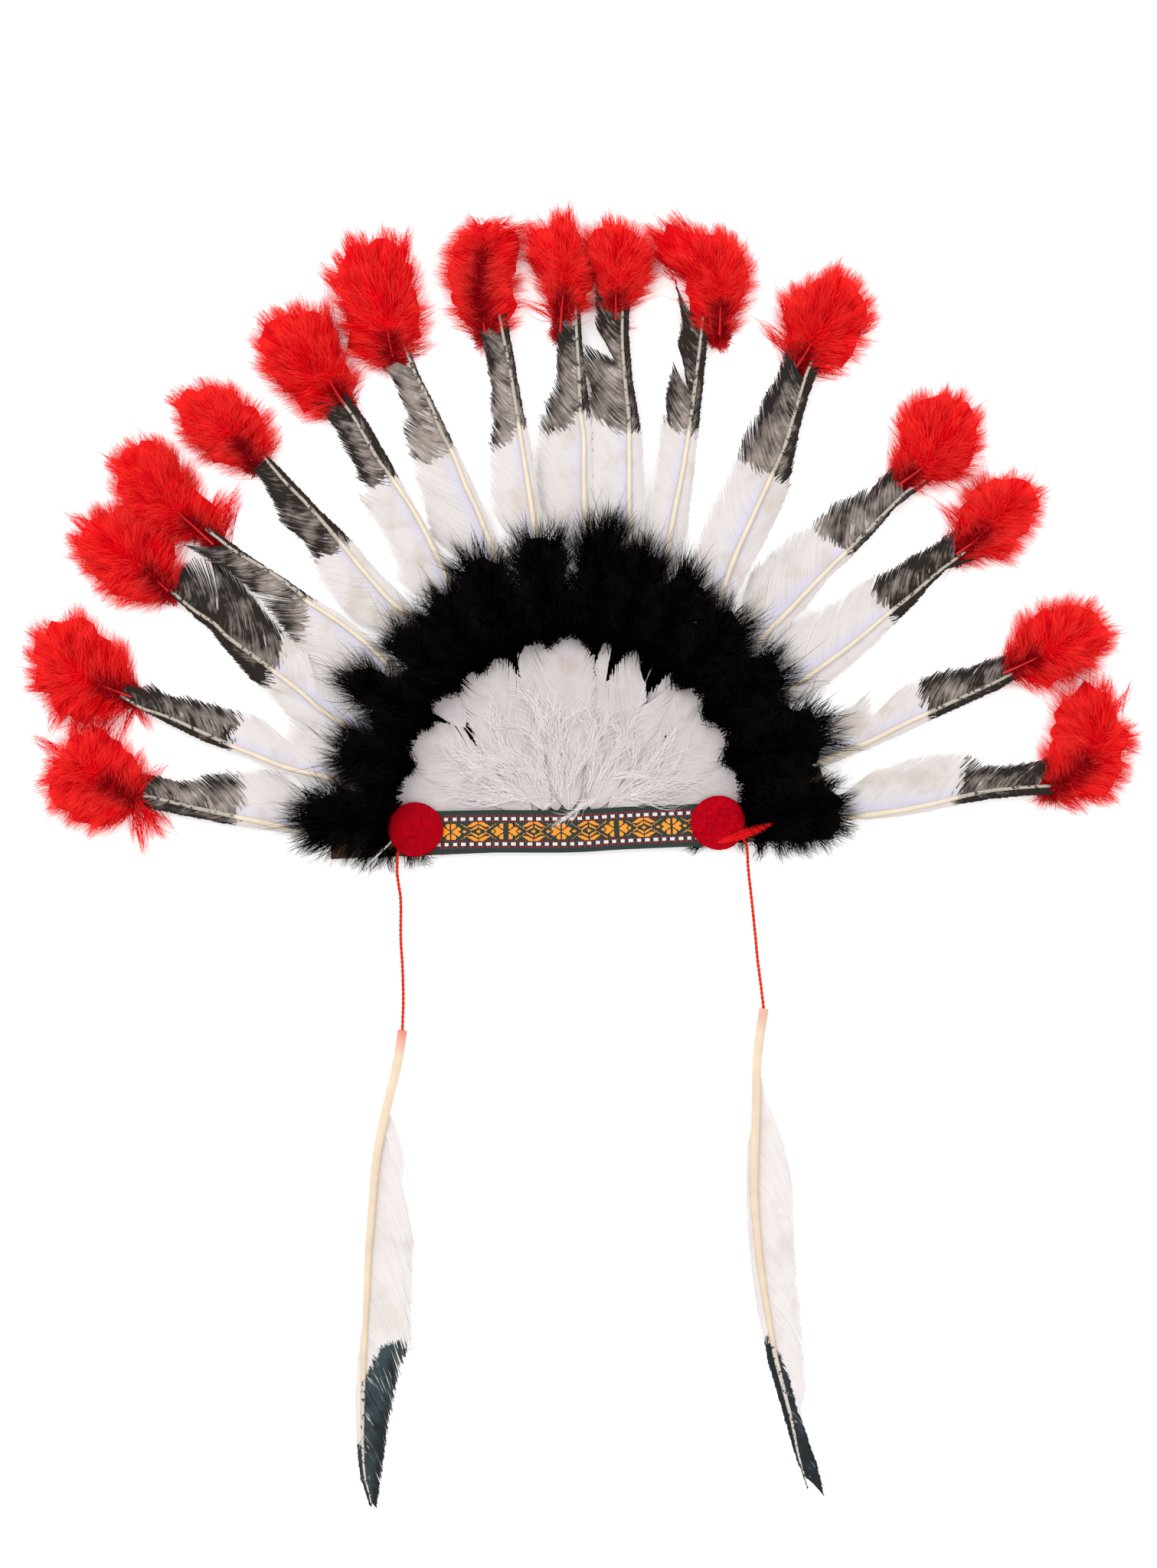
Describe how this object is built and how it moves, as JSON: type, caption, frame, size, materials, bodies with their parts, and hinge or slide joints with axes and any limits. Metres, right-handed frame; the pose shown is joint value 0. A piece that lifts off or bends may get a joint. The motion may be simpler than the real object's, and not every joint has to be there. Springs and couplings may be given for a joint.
{
  "type": "feathered headdress",
  "caption": "Fan-shaped feathered headdress with fluffy red tips, a black plume ring, a white feather fan, a woven browband, felt discs and hanging feathers, lying flat.",
  "frame": {"origin": "middle of the browband on the rear face of the backing", "axes": "+X along the browband to the right as seen from the front, +Y up the headdress towards the feather tips, +Z out of its front; it lies on its back"},
  "size_m": [0.6683, 0.7693, 0.0291],
  "materials": {
    "backing_felt": "matte brown pressed felt",
    "long_feather": "satin white vane painted black towards the tip, cream quill",
    "red_marabou": "deep soft red down",
    "black_marabou": "deep soft black down",
    "white_feather": "satin white vane with loose down",
    "woven_ribbon": "dark green jacquard weave with orange flowers, white squares and red dashes",
    "rosette_felt": "matte crimson felt",
    "red_yarn": "matte twisted red yarn",
    "drop_feather": "satin white vane with a blue-black tip, cream quill",
    "white_elastic": "matte braided white elastic"
  },
  "bodies": {
    "root": {"backing": "backing_felt", "long_feather_01": "long_feather", "long_feather_02": "long_feather", "long_feather_03": "long_feather", "long_feather_04": "long_feather", "long_feather_05": "long_feather", "long_feather_06": "long_feather", "long_feather_07": "long_feather", "long_feather_08": "long_feather", "long_feather_09": "long_feather", "long_feather_10": "long_feather", "long_feather_11": "long_feather", "long_feather_12": "long_feather", "long_feather_13": "long_feather", "long_feather_14": "long_feather", "long_feather_15": "long_feather", "long_feather_16": "long_feather", "red_fluff_01": "red_marabou", "red_fluff_02": "red_marabou", "red_fluff_03": "red_marabou", "red_fluff_04": "red_marabou", "red_fluff_05": "red_marabou", "red_fluff_06": "red_marabou", "red_fluff_07": "red_marabou", "red_fluff_08": "red_marabou", "red_fluff_09": "red_marabou", "red_fluff_10": "red_marabou", "red_fluff_11": "red_marabou", "red_fluff_12": "red_marabou", "red_fluff_13": "red_marabou", "red_fluff_14": "red_marabou", "red_fluff_15": "red_marabou", "red_fluff_16": "red_marabou", "black_plume_01": "black_marabou", "black_plume_02": "black_marabou", "black_plume_03": "black_marabou", "black_plume_04": "black_marabou", "black_plume_05": "black_marabou", "black_plume_06": "black_marabou", "black_plume_07": "black_marabou", "white_feather_01": "white_feather", "white_feather_02": "white_feather", "white_feather_03": "white_feather", "white_feather_04": "white_feather", "white_feather_05": "white_feather", "white_feather_06": "white_feather", "white_feather_07": "white_feather", "white_feather_08": "white_feather", "white_feather_09": "white_feather", "white_feather_10": "white_feather", "white_feather_11": "white_feather", "ribbon": "woven_ribbon", "rosette_left": "rosette_felt", "rosette_right": "rosette_felt", "red_wisp": "red_marabou", "cord_left": "red_yarn", "cord_right": "red_yarn", "drop_feather_left": "drop_feather", "drop_feather_right": "drop_feather", "elastic": "white_elastic"}
  },
  "joints": []
}
